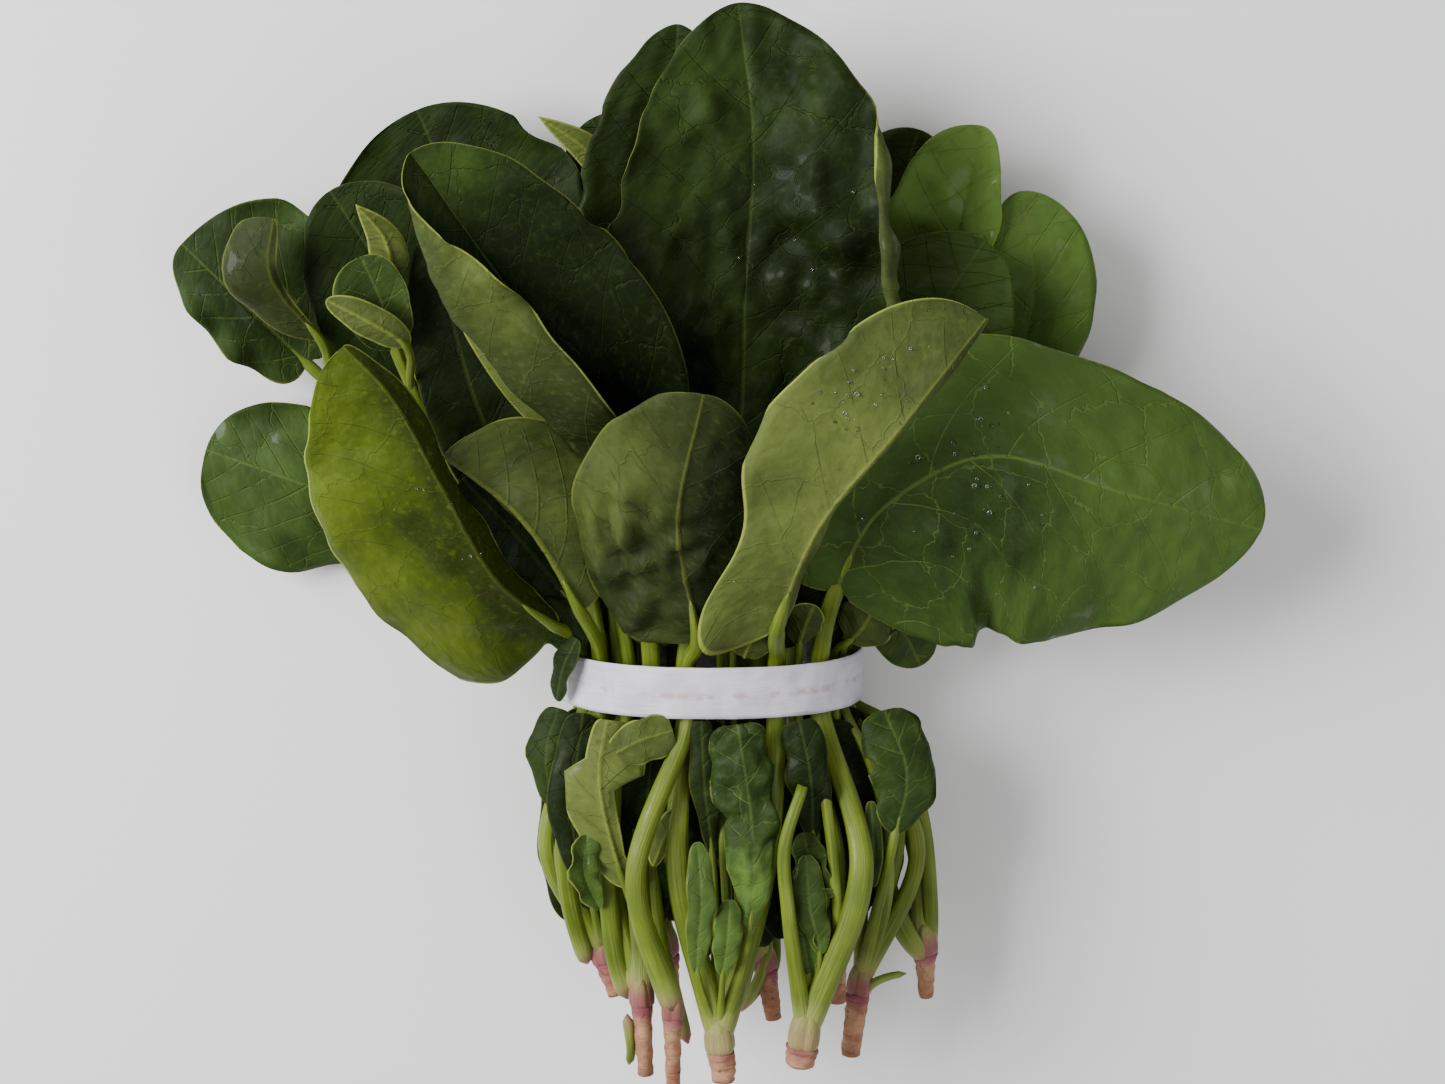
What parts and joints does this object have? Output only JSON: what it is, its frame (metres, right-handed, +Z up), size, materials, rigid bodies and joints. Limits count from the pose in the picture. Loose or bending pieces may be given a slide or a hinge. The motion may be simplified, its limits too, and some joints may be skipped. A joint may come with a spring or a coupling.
{
  "type": "spinach bunch",
  "caption": "A bunch of mature spinach plants with their roots, lying down, its broad dark leaves spread in a fan, its stalks tied with one plain paper band.",
  "frame": {"origin": "on the table, under the middle of the band, at the centre of the small flat where the band rests", "axes": "+Z up from the table, +Y along the stalks from the roots to the leaf tips, +X to the right when the roots are nearest"},
  "size_m": [0.3014, 0.3015, 0.1004],
  "materials": {
    "leaf_dark": "satin",
    "leaf_mid": "satin",
    "leaf_pale": "matte",
    "leaf_lime": "satin",
    "stalk": "satin",
    "root": "matte",
    "paper": "matte"
  },
  "bodies": {
    "root": {"leaf_front_middle": "leaf_pale", "leaf_front_right": "leaf_pale", "leaf_wide_right": "leaf_mid", "leaf_left_lime": "leaf_lime", "leaf_left_tall": "leaf_dark", "leaf_left_strip": "leaf_pale", "leaf_left_inner": "leaf_pale", "leaf_left_shade": "leaf_dark", "leaf_left_low": "leaf_dark", "leaf_right_scrap": "leaf_pale", "leaf_right_crumple": "leaf_pale", "leaf_right_lobe": "leaf_mid", "leaf_back_tall": "leaf_dark", "leaf_back_partner": "leaf_dark", "leaf_back_point": "leaf_pale", "leaf_left_back": "leaf_dark", "leaf_left_grey": "leaf_dark", "leaf_far_left": "leaf_mid", "leaf_right_back": "leaf_mid", "leaf_right_far": "leaf_mid", "leaf_right_shade": "leaf_dark", "leaf_left_pale": "leaf_mid", "leaf_left_tongue": "leaf_mid", "leaf_left_roll": "leaf_mid", "leaf_left_flap": "leaf_pale", "leaf_left_tip": "leaf_pale", "leaf_left_middle": "leaf_dark", "leaf_under_left": "leaf_dark", "leaf_under_right": "leaf_dark", "leaf_low_pale": "leaf_pale", "leaf_low_crinkled": "leaf_dark", "leaf_low_middle": "leaf_dark", "leaf_low_right": "leaf_dark", "leaf_low_sprig": "leaf_mid", "leaf_low_far_right": "leaf_mid", "leaf_low_left": "leaf_dark", "leaf_low_left_shade": "leaf_dark", "leaf_low_curl_left": "leaf_mid", "leaf_low_curl_right": "leaf_mid", "stalks_c": "stalk", "root_c": "root", "stalks_d": "stalk", "root_d": "root", "stalks_e": "stalk", "root_e": "root", "stalks_a": "stalk", "root_a": "root", "stalks_b": "stalk", "root_b": "root", "stalks_f": "stalk", "root_f": "root", "stalks_h": "stalk", "root_h": "root", "stalks_i": "stalk", "root_i": "root", "stalks_g": "stalk", "root_g": "root", "stalks_j": "stalk", "root_j": "root", "band": "paper"}
  },
  "joints": []
}
